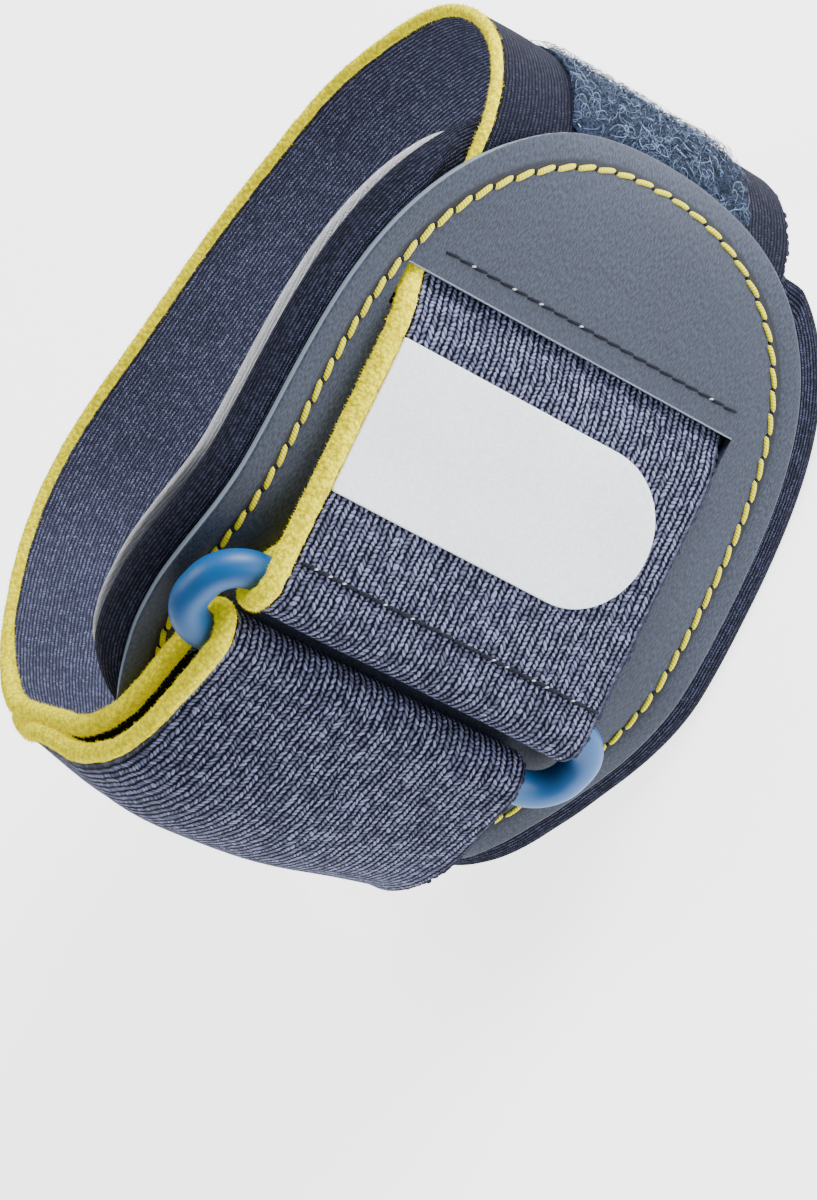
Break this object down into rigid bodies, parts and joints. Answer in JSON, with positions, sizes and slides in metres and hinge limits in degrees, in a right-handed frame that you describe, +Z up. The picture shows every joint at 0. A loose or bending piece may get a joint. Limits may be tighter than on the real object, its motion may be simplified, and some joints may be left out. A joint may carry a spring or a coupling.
{
  "type": "tennis elbow strap",
  "caption": "Tennis elbow strap: a padded oval shell on an elastic webbing band with coloured edges, closed through an oblong ring, lying on its side.",
  "frame": {"origin": "middle of the bounding box's bottom, on the surface that the strap rests on when it lies on its side", "axes": "+Z up from the surface, +X from the ring toward the slot end of the shell, +Y from the padded shell toward the back of the loop; the arm goes through the loop roughly along Z"},
  "size_m": [0.1088, 0.0856, 0.0746],
  "materials": {
    "shell": "satin fine-grained synthetic leather",
    "pad": "matt fine knit over foam",
    "lining": "matt smooth sheet",
    "webbing": "matt ribbed elastic knit",
    "coloured_edge": "matt terry edge",
    "ring": "satin moulded plastic",
    "label": "satin speckled patch",
    "loop_pile": "fuzzy loop pile",
    "hook_tab": "matt hook tape"
  },
  "bodies": {
    "root": {"shell": "shell", "pad": "pad", "lining": "lining", "ring_strap": "webbing", "ring_strap_edge": "coloured_edge", "main_strap": "webbing", "main_strap_edge": "coloured_edge", "ring": "ring", "label": "label", "loop_pile": "loop_pile", "hook_tab": "hook_tab"}
  },
  "joints": []
}
